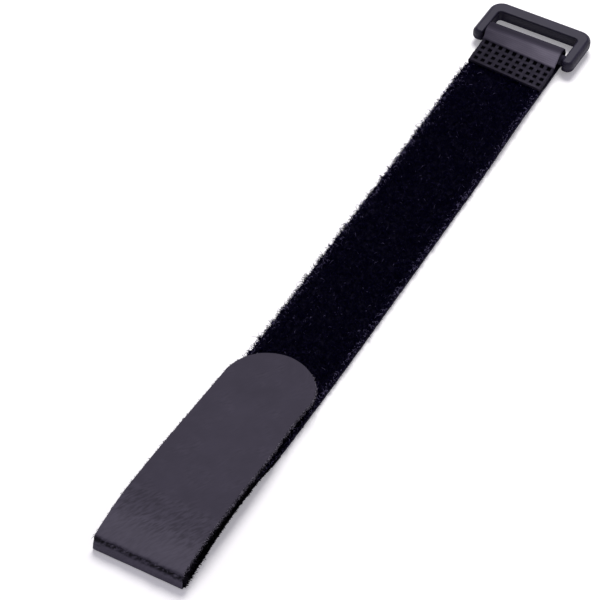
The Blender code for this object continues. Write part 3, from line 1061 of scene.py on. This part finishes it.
    def hairs(self, name: str, count: int, seed: int) -> bpy.types.Object:
        """Make the broken loops: single hairs that stand out of the pile and of its two edges.

        Args:
            name: The piece's name.
            count: How many hairs.
            seed: For their places.

        Returns:
            The hairs as one object.
        """
        rng = np.random.default_rng(seed)
        along = rng.uniform(self.flat_pile_end, self.pile_end, count)
        at_edge = rng.uniform(0.0, 1.0, count) < self.hair_edge_share
        edge = np.sign(rng.uniform(-1.0, 1.0, count)) * rng.uniform(0.96, 1.0, count)
        across = np.where(at_edge, edge, rng.uniform(-0.98, 0.98, count))
        base = self.place(along, across, np.full(count, Face.INNER))
        way, out = self.path.ways(along)
        side = pointing(1, 1.0, count)
        sink = rng.uniform(0.0, 0.8, count) * at_edge * MM
        base = base - out * sink[:, None]
        push = np.where(at_edge, np.sign(across) * rng.uniform(0.2, 1.0, count),
                        rng.normal(0.0, 0.4, count))[:, None]
        rise = np.where(at_edge, rng.uniform(-0.1, 0.9, count),
                        rng.uniform(0.6, 1.1, count))[:, None]
        drift = rng.normal(0.0, 0.6, count)[:, None]
        size = (0.35 + 1.0 * rng.uniform(0.0, 1.0, count) ** 2) * MM
        size = size * np.where(at_edge & (across < 0.0), 0.55, 1.0)
        size = (size * np.where(at_edge, self.tuft(along, across), 1.0))[:, None]
        bend = base + (out * rise + side * push * 0.6) * size * 0.8
        end = base + (out * rise * 0.9 + side * push + way * drift) * size
        end[:, 2] = np.maximum(end[:, 2], 0.1 * MM)
        # Painted light: hairs at the edges get lighter shades than those on the pile.
        shade = np.where(at_edge, rng.uniform(0.7, 1.0, count), rng.uniform(0.3, 1.0, count))
        return FibreShape(self.hair_radius).draw(name, base, bend, end, shade, taper=0.4)

    def dress(self) -> list[bpy.types.Object]:
        """Returns:
            The tape's slab and its fibres.
        """
        tape = self.build()
        tape.data.materials.append(LoopGround().make())
        pile = LoopPile().make()
        tufts = [self.loops(f"loop_pile_{index}", self.loop_count, self.seed + index)
                 for index in range(self.loop_pieces)]
        tufts.append(self.hairs("loop_hairs", self.hair_count, self.seed + 20))
        for tuft in tufts:
            tuft.data.materials.append(pile)
        for piece in [tape, *tufts]:
            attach(piece, "strap")
        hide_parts("loop_strap")
        return [tape, *tufts]


@dataclass
class HookTab:
    """The tab: hook tape lapped under the strap, folded over sharply, with a half-round tip."""

    lay: Lay
    width: float = 20.3 * MM
    backing: float = 0.5 * MM
    corner: float = 0.18 * MM
    fray: Grain = Grain(0.09 * MM, 0.7 * MM, 9.0)
    waves: tuple[Grain, Grain] = (Grain(0.05 * MM, 6.0 * MM, 4.0), Grain(0.02 * MM, 1.6 * MM, 6.0))
    crimp: float = 0.22 * MM
    crinkle: Grain = Grain(0.30 * MM, 0.75 * MM, 2.0)
    plain_tone: float = 0.5
    # Painted light: the tongue is made lighter up to about 12 mm behind the crease, and a little
    # more up to 16 mm.
    fold_light_tone: float = 0.345
    fold_light_boost: float = 0.045
    # Painted light on the fold's front face, as of light thrown up from the floor.
    face_bounce_tone: float = 0.2
    mottle: Grain = Grain(0.035, 2.4 * MM, 15.0)
    crease_wander: Grain = Grain(0.22 * MM, 1.6 * MM, 16.0)
    crease_strokes: Grain = Grain(1.9, 0.6 * MM, 17.0)
    crease_specks: Grain = Grain(9.0, 0.4 * MM, 18.0)
    fold_round: float = 0.5 * MM
    crease_round: float = 0.3 * MM
    crease_rise: float = math.radians(18.0)
    spring: float = 0.35 * MM
    side_spring: float = 0.35 * MM
    spring_reach: float = 9.0 * MM
    lap_crush: float = 0.3 * MM
    tip_tuck: float = 0.5 * MM
    tuck_start: float = 28.0 * MM
    tuck_span: float = 24.0 * MM
    hook_height: float = 0.8 * MM
    lap_hook_height: float = 0.15 * MM
    hook_radius: float = 0.085 * MM
    hook_pitch: tuple[float, float] = (0.95 * MM, 0.72 * MM)
    squeezed: int = 2200
    squeezed_reach: tuple[float, float] = (-38.0 * MM, 34.0 * MM)
    squeezed_size: tuple[float, float] = (0.45 * MM, 0.85 * MM)
    thread_count: int = 1500
    thread_radius: float = 0.06 * MM
    thread_size: tuple[float, float] = (0.15 * MM, 0.55 * MM)
    seed: int = 31
    path: TapePath = field(init=False)

    def __post_init__(self) -> None:
        """Set out the path: back along the table, up the fold and out over the strap."""
        lay = self.lay
        front = -lay.fold_reach
        xs = spread(lay.lap_end - lay.fold_reach, front + self.fold_round, 0.5 * MM)
        points = list(zip(xs.tolist(), lay.underside(xs).tolist()))
        points[-1] = (front + self.fold_round, 0.0)
        points += arc((front + self.fold_round, self.fold_round), self.fold_round,
                      -0.5 * math.pi, -math.pi, 8)[1:]
        top = lay.fold_height - self.crease_round
        face = spread(self.fold_round, top, 0.2 * MM)[1:]
        leans = lay.fold_lean * smooth_step((face - self.fold_round) / (top - self.fold_round))
        points += list(zip((front + leans).tolist(), face.tolist()))
        crease = front + lay.fold_lean
        points += arc((crease + self.crease_round, top), self.crease_round, math.pi,
                      0.5 * math.pi + self.crease_rise, 6)[1:]
        crease_point = len(points) - 3
        xs = spread(crease + 2.0 * self.crease_round, front + lay.tongue_length, 0.4 * MM)
        points += list(zip(xs.tolist(), lay.tongue_top(xs).tolist()))
        self.path = TapePath(points, inner_on_left=False)
        self.crease_along = float(self.path.lengths[crease_point])
        self.fold_along = self.crease_along - lay.fold_height

    def half_width(self, along: np.ndarray) -> np.ndarray:
        """Return half the width: narrowed by the lap's crush, full, then the tip's chord.

        Args:
            along: Lengths along the path.

        Returns:
            Half the width at each.
        """
        radius = 0.5 * self.width
        crush = 1.0 - smooth_step((along - self.lay.lap_end + self.lay.lap_start) / (4.0 * MM))
        into = np.clip((along - (self.path.length - radius)) / radius, 0.0, 1.0)
        chord = radius * np.sqrt(np.clip(1.0 - into ** 2, 0.0, 1.0))
        return chord + 0.02 * MM - self.lap_crush * crush

    def place(self, along: np.ndarray, across: np.ndarray, side: np.ndarray) -> np.ndarray:
        """Return points on the tab, crimped at the crease and sprung up behind it.

        Args:
            along: Lengths along the path.
            across: Places across, from -1 to 1.
            side: Each point's Face.

        Returns:
            The points, as an (n, 3) array.
        """
        x, z, normal_x, normal_z = self.path.at(along)
        half = self.half_width(along)
        t = across * half
        inset = np.clip(np.abs(t) - (half - self.corner), 0.0, None) / self.corner
        rounding = 0.6 * self.corner * (1.0 - np.sqrt(np.clip(1.0 - inset ** 2, 0.0, 1.0)))
        flat = np.stack([along, t, 9.0 * MM * side], axis=1)
        behind = along - self.crease_along
        near = np.exp(-(behind / (0.55 * MM)) ** 2)
        slant = flat + pointing(1, 0.8 * behind, len(along))
        crimp = near * (self.crimp + self.crinkle.at(slant * (0.55, 1.0, 1.0)))
        wave = self.waves[0].at(flat) + self.waves[1].at(flat)
        depth = np.where(side == Face.INNER, self.backing - rounding + 0.4 * crimp,
                         rounding + crimp + wave)
        edge = smooth_step((np.abs(t) - (half - 0.6 * MM)) / (0.6 * MM))
        fray = self.fray.at(flat * (1.0, 0.0, 1.0) + (0.0, 5.0 * MM, 0.0))
        tuck = self.tip_tuck * hump(along - self.path.length + self.tuck_start, self.tuck_span)
        y = t + np.sign(t) * fray * edge + tuck * np.clip(-across, 0.0, 1.0)
        px = x + normal_x * depth
        up_face = smooth_step((along - self.fold_along) / (self.crease_along - self.fold_along))
        spring = (self.spring + self.side_spring * (0.5 - 0.5 * across) ** 1.5) * up_face
        fade = np.exp(-(np.clip(behind, 0.0, None) / self.spring_reach) ** 2)
        pz = z + normal_z * depth + spring * fade
        upper = behind > -1.5 * MM
        shift = np.where(upper, self.lay.tongue_shift(px), self.lay.near_shift(px))
        turn = np.where(upper, math.tan(self.lay.tongue_yaw), 0.0)
        px = np.maximum(px - turn * y, -self.lay.fold_reach - 0.6 * MM)
        return np.stack([px, y + shift, np.maximum(pz, 0.0)], axis=1)

    def tone(self, along: np.ndarray, across: np.ndarray, side: np.ndarray) -> np.ndarray:
        """Return how light the backing is: painted light near the fold and on its face, painted
        shade in the crimped crease.

        Args:
            along: Lengths along the path.
            across: Places across, from -1 to 1.
            side: Each point's Face, which makes no difference here.

        Returns:
            The tone at each point, from 0 to 1.
        """
        t = across * 0.5 * self.width
        flat = np.stack([along, t, 0.0 * t], axis=1)
        behind = along - self.crease_along
        # Painted light behind the crease and on the fold's face.
        base = self.plain_tone + self.fold_light_tone * smooth_step((12.5 * MM - behind) / (9.0 * MM))
        base = base + self.fold_light_boost * smooth_step((16.0 * MM - behind) / (2.5 * MM))
        base = base + self.face_bounce_tone * smooth_step((-0.6 * MM - behind) / (1.6 * MM))
        base = base + self.mottle.at(flat)
        slant = flat + pointing(1, 0.9 * behind, len(along))
        strokes = self.crease_strokes.at(slant * (0.7, 1.0, 1.0))
        # Painted shade: a dark band along the crease, broken by strokes, with light specks in it.
        off = behind + 0.2 * MM + self.crease_wander.at(flat * (0.0, 1.0, 0.0))
        band = np.exp(-(off / np.where(off > 0.0, 0.5 * MM, 0.85 * MM)) ** 4)
        cover = np.clip(0.95 + strokes, 0.3, 0.97)
        speck = np.clip(self.crease_specks.at(slant) - 2.7, 0.0, 0.6)
        return np.clip(base * (1.0 - band * cover) + band * speck, 0.0, 1.0)

    def build(self) -> bpy.types.Object:
        """Make the tab's slab.

        Returns:
            The slab.
        """
        length = self.path.length
        radius = 0.5 * self.width
        tip = length - radius * (1.0 - np.sin(np.linspace(0.0, 0.5 * np.pi, 36)))
        stations = joined(spread(0.0, self.fold_along, 0.8 * MM),
                          spread(self.fold_along, self.crease_along + 2.0 * MM, 0.14 * MM),
                          spread(self.crease_along + 2.0 * MM, length - radius, 0.6 * MM), tip)
        rim = rim_places(self.corner, radius)
        outer = joined(np.linspace(-1.0, 1.0, 110), rim)
        inner = joined(np.linspace(-1.0, 1.0, 44), rim)
        slab = Tape("hook_tape", self.path, stations, outer, inner)
        return slab.build(self.place, self.tone)

    def hooks(self) -> bpy.types.Object:
        """Make the rows of hooks on the tape's inner side.

        Returns:
            The hooks as one object.
        """
        rng = np.random.default_rng(self.seed)
        along_step, across_step = self.hook_pitch
        rows = spread(0.6 * MM, self.path.length - 0.5 * MM, along_step)
        columns = spread(-0.49 * self.width, 0.49 * self.width, across_step)
        along, t = [grid.reshape(-1) for grid in np.meshgrid(rows, columns, indexing="ij")]
        along = along + rng.normal(0.0, 0.12 * MM, len(along))
        t = t + rng.normal(0.0, 0.07 * MM, len(t))
        half = self.half_width(along)
        corner = np.abs(along - self.crease_along + 0.5 * self.lay.fold_height)
        keep = (np.abs(t) < half - 0.1 * MM) & (corner > 1.2 * MM)
        along, t, half = along[keep], t[keep], half[keep]
        count = len(along)
        base = self.place(along, t / half, np.full(count, Face.INNER))
        way, out = self.path.ways(along)
        lap = along < self.lay.lap_end - self.lay.lap_start
        height = np.where(lap, self.lap_hook_height,
                          self.hook_height * rng.uniform(0.85, 1.1, count))[:, None]
        facing = np.where(np.arange(count) % 2 == 0, 1.0, -1.0)[:, None]
        bow = way * facing * height * 0.75
        crown = base + out * height * 1.9 + bow * 0.5
        end = base + out * height * 0.45 + bow
        starts, bends, ends = self.squeezed_hooks(rng)
        start = np.concatenate([base - out * 0.1 * MM, starts])
        shade = rng.uniform(0.0, 1.0, len(start))
        shape = FibreShape(self.hook_radius, rings=4)
        return shape.draw("hook_rows", start, np.concatenate([crown, bends]),
                          np.concatenate([end, ends]), shade, taper=0.7)

    def squeezed_hooks(self, rng: np.random.Generator
                       ) -> tuple[np.ndarray, np.ndarray, np.ndarray]:
        """Lay out the hooks that are squeezed out of the right side, at the fold and the arch.

        Args:
            rng: The hooks' random numbers.

        Returns:
            The hooks' starts, bends and ends, as (n, 3) arrays.
        """
        count = self.squeezed
        at_fold = rng.uniform(0.0, 1.0, count) < 0.4
        off = np.where(at_fold, rng.normal(0.0, 3.5 * MM, count),
                       rng.uniform(*self.squeezed_reach, count))
        along = self.crease_along - 0.5 * self.lay.fold_height + off
        near_edge = 0.99 - rng.uniform(0.0, 1.0, count) * np.where(at_fold, 0.11, 0.03)
        base = self.place(along, -near_edge, np.full(count, Face.INNER))
        out = self.path.ways(along)[1]
        aside = pointing(1, -1.0, count)
        size = (rng.uniform(*self.squeezed_size, count) * np.where(at_fold, 1.5, 1.0))[:, None]
        rise = rng.uniform(0.1, 1.0, count)[:, None]
        bend = base + out * rise * size + aside * 0.7 * size
        end = base + out * rise * 0.8 * size + aside * rng.uniform(0.5, 1.0, count)[:, None] * size
        for points in (bend, end):
            points[:, 2] = np.maximum(points[:, 2], 0.1 * MM)
            points[:, 0] = np.maximum(points[:, 0], -self.lay.fold_reach + 0.2 * MM)
        return base, bend, end

    def edge_threads(self) -> bpy.types.Object:
        """Make the cut ends of weft that fray along the tongue's two edges.

        Returns:
            The threads as one object.
        """
        rng = np.random.default_rng(self.seed + 1)
        count = self.thread_count
        along = rng.uniform(self.crease_along, self.path.length - 2.0 * MM, count)
        sign = np.sign(rng.uniform(-1.0, 0.25, count))
        across = sign * rng.uniform(0.975, 1.0, count)
        base = self.place(along, across, rng.uniform(0, 1, count) > 0.5)
        side = pointing(1, sign, count)
        drop = pointing(2, rng.uniform(-1.1, 0.1, count), count)
        drift = pointing(0, rng.normal(0.0, 0.6, count), count)
        size = rng.uniform(*self.thread_size, count)[:, None]
        bend = base + (side + 0.2 * drop) * size * 0.6
        end = base + (side * 0.8 + drop + drift) * size
        shade = rng.uniform(0.0, 1.0, count)
        return FibreShape(self.thread_radius).draw("edge_threads", base, bend, end, shade)

    def dress(self) -> list[bpy.types.Object]:
        """Returns:
            The tab's slab, its hooks and its edge threads.
        """
        tape = self.build()
        tape.data.materials.append(HookBacking().make())
        hooks = self.hooks()
        hooks.data.materials.append(HookFilament().make())
        threads = self.edge_threads()
        threads.data.materials.append(HookFilament(dark="2a2731", light="8d8895").make())
        for piece in (tape, hooks, threads):
            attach(piece, "strap")
        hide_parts("hook_tab")
        return [tape, hooks, threads]


@dataclass
class RingBuckle:
    """The moulded ring: a flat rectangular frame with a thinner round bar in the strap's loop."""

    lay: Lay
    bar_radius: float = 1.25 * MM
    slot_width: float = 20.8 * MM
    slot_reach: float = 7.1 * MM
    rail_width: float = 2.95 * MM
    far_bar_width: float = 3.9 * MM
    overhang: float = 2.6 * MM
    thickness: float = 3.0 * MM
    far_corner: float = 3.4 * MM
    near_corner: float = 1.7 * MM
    slot_corner: float = 0.8 * MM
    outer_round: float = 1.1 * MM
    inner_round: float = 0.5 * MM
    embed: float = 1.2 * MM
    shift: float = 0.2 * MM
    rim_fade: float = 0.8 * MM
    rim_levels: int = 6

    def outline(self) -> list[tuple[float, float]]:
        """Lay out the frame seen from above, open at the bar's side.

        Returns:
            Its points, as (x, y) about the bar's middle.
        """
        half_slot = 0.5 * self.slot_width
        half_frame = half_slot + self.rail_width
        far = self.slot_reach + self.far_bar_width
        near = -self.overhang
        quarter = 0.5 * math.pi
        end = self.rail_width - self.near_corner
        near_y, far_y = half_frame - self.near_corner, half_frame - self.far_corner
        slot_x, slot_y = self.slot_reach - self.slot_corner, half_slot - self.slot_corner
        points = arc((near + self.near_corner, -near_y), self.near_corner, -2 * quarter, -quarter,
                     8)
        points += arc((far - self.far_corner, -far_y), self.far_corner, -quarter, 0.0, 12)
        points += arc((far - self.far_corner, far_y), self.far_corner, 0.0, quarter, 12)
        points += arc((near + self.near_corner, near_y), self.near_corner, quarter, 2 * quarter, 8)
        points += arc((near + end, half_slot + end), end, 2 * quarter, 3 * quarter, 5)
        points += arc((slot_x, slot_y), self.slot_corner, quarter, 0.0, 6)
        points += arc((slot_x, -slot_y), self.slot_corner, 0.0, -quarter, 6)
        points += arc((near + end, -half_slot - end), end, quarter, 2 * quarter, 5)
        return points

    def edge_round(self, x: float, y: float) -> float:
        """Return how round the rim is: generous outside, crisp round the slot.

        Args:
            x: The point's place, from the bar towards the far bar.
            y: Its place across, from the ring's middle line.

        Returns:
            The radius of the rounding there.
        """
        half_slot = 0.5 * self.slot_width
        beside = smooth_step((abs(y) - half_slot) / self.rim_fade)
        beyond = smooth_step((x - self.slot_reach) / self.rim_fade)
        return self.inner_round + (self.outer_round - self.inner_round) * max(beside, beyond)

    def level(self, rim: np.ndarray, share: float, top: bool) -> list[tuple[float, float, float]]:
        """Return the rim at one height of its rounding.

        Args:
            rim: The outline's points.
            share: From 0, the flat side of the rim, to 1, its flat top or underside.
            top: Whether this is the upper rounding.

        Returns:
            The rim's points at that height.
        """
        before, after = np.roll(rim, 1, axis=0), np.roll(rim, -1, axis=0)
        along = after - before
        along /= np.hypot(along[:, 0], along[:, 1])[:, None]
        inward = np.stack([-along[:, 1], along[:, 0]], axis=1)
        rounds = np.array([self.edge_round(x, y) for x, y in rim])[:, None]
        turn = 0.5 * math.pi * share
        points = rim + inward * rounds * (1.0 - math.cos(turn))
        heights = 0.5 * self.thickness - rounds[:, 0] * (1.0 - math.sin(turn))
        heights = heights if top else -heights
        return [(x, y, z) for (x, y), z in zip(points.tolist(), heights.tolist())]

    def build(self) -> bpy.types.Object:
        """Make the ring, risen from its outline level by level, with its bar.

        Returns:
            The ring.
        """
        rim = np.array(self.outline())
        keep = np.hypot(*(rim - np.roll(rim, 1, axis=0)).T) > 0.02 * MM
        rim = rim[keep]
        shares = np.linspace(0.0, 1.0, self.rim_levels)
        levels = [self.level(rim, share, top=False) for share in shares[::-1]]
        levels += [self.level(rim, share, top=True) for share in shares]
        work = bmesh.new()
        corners = [work.verts.new(point) for point in levels[0]]
        face = work.faces.new(corners)
        for height in levels[1:]:
            risen = bmesh.ops.extrude_face_region(work, geom=[face])["geom"]
            lifted = [item for item in risen if isinstance(item, bmesh.types.BMVert)]
            order = {tuple(corner.co): index for index, corner in enumerate(corners)}
            raised = [None] * len(corners)
            for vertex in lifted:
                raised[order[tuple(vertex.co)]] = vertex
            for vertex, point in zip(raised, height):
                vertex.co = point
            corners = raised
            face = next(item for item in risen if isinstance(item, bmesh.types.BMFace))
        bmesh.ops.recalc_face_normals(work, faces=work.faces)
        length = self.slot_width + 2.0 * self.embed
        turn = Matrix.Rotation(math.radians(90.0), 4, "X")
        bmesh.ops.create_cone(work, cap_ends=True, segments=40, radius1=self.bar_radius,
                              radius2=self.bar_radius, depth=length, matrix=turn)
        place = Matrix.Translation((self.lay.bar_reach, self.shift, self.lay.bar_height))
        place = place @ Matrix.Rotation(-self.lay.buckle_skew, 4, "Z")
        bmesh.ops.transform(work, matrix=place, verts=work.verts)
        for face in work.faces:
            face.smooth = len(face.verts) == 4
        return finished("moulded_ring", work)

    def dress(self) -> list[bpy.types.Object]:
        """Build the ring and hang it on its own body.

        Returns:
            The ring, alone in a list.
        """
        ring = self.build()
        ring.data.materials.append(MouldedPlastic().make())
        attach(ring, "ring")
        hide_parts("buckle")
        return [ring]


@dataclass(frozen=True)
class PhotoCamera:
    """The camera, at the photograph's angle: a long lens, above the fold end and to its right."""

    aim: tuple[float, float, float] = (-15.98 * MM, 8.43 * MM, 0.0)
    distance: float = 521.3 * MM
    heading: float = 27.52
    drop: float = 46.54
    roll: float = 1.36
    lens: float = 144.25
    sensor: float = 36.0

    def make(self) -> bpy.types.Object:
        """Add the camera to the scene.

        Returns:
            The camera object.
        """
        heading, drop = math.radians(self.heading), math.radians(self.drop)
        look = Vector((math.cos(heading) * math.cos(drop), math.sin(heading) * math.cos(drop),
                       -math.sin(drop)))
        data = bpy.data.cameras.new("camera")
        data.lens, data.sensor_width = self.lens, self.sensor
        data.clip_start, data.clip_end = 0.01, 10.0
        camera = bpy.data.objects.new("camera", data)
        camera.location = Vector(self.aim) - look * self.distance
        turn = look.to_track_quat("-Z", "Y").to_matrix().to_4x4()
        camera.rotation_euler = (turn @ Matrix.Rotation(math.radians(self.roll), 4, "Z")).to_euler()
        bpy.context.scene.collection.objects.link(camera)
        bpy.context.scene.camera = camera
        return camera


@dataclass(frozen=True)
class Studio:
    """Plain pale floor, a soft white dome and one large lamp over the strap's left side."""

    floor_size: float = 3.0
    lamp_size: float = 0.42
    lamp_power: float = 5.1
    lamp_colour: str = "fffefa"
    lamp_place: tuple[float, float, float] = (0.38, 0.13, 0.66)
    dome_strength: float = 0.33
    dome_colour: str = "f0ebff"

    def make(self) -> None:
        """Add the floor, the lamp and the world."""
        work = bmesh.new()
        bmesh.ops.create_grid(work, x_segments=1, y_segments=1, size=0.5 * self.floor_size)
        floor = finished("floor", work)
        floor.data.materials.append(WhiteCard().make())
        data = bpy.data.lights.new("soft_lamp", "AREA")
        data.shape, data.size, data.energy = "DISK", self.lamp_size, self.lamp_power
        data.color = linear_colour(self.lamp_colour)[:3]
        lamp = bpy.data.objects.new("soft_lamp", data)
        lamp.location = self.lamp_place
        lamp.rotation_euler = (-Vector(self.lamp_place)).to_track_quat("-Z", "Y").to_euler()
        bpy.context.scene.collection.objects.link(lamp)
        world = bpy.data.worlds.new("studio_world")
        bpy.context.scene.world = world
        world.use_nodes = True
        tree = world.node_tree
        tree.nodes.clear()
        path = add_node(tree, "ShaderNodeLightPath")
        soft = add_node(tree, "ShaderNodeBackground", Color=self.dome_colour,
                        Strength=self.dome_strength)
        white = add_node(tree, "ShaderNodeBackground", Color=WHITE, Strength=1.0)
        mix = add_node(tree, "ShaderNodeMixShader", n0=path.outputs["Is Camera Ray"],
                       n1=soft.outputs[0], n2=white.outputs[0])
        add_node(tree, "ShaderNodeOutputWorld", Surface=mix.outputs[0])


def main() -> None:
    """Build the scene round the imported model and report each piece."""
    logging.basicConfig(level=logging.INFO, format="%(name)s: %(message)s")
    bpy.context.scene.view_settings.view_transform = "Standard"
    PhotoCamera().make()
    Studio().make()
    lay = Lay()
    for assembly in (LoopTape(lay), HookTab(lay), RingBuckle(lay)):
        for piece in assembly.dress():
            LOG.info("%s: %s has %d faces", type(assembly).__name__, piece.name,
                     len(piece.data.polygons))


if __name__ == "__main__":
    main()
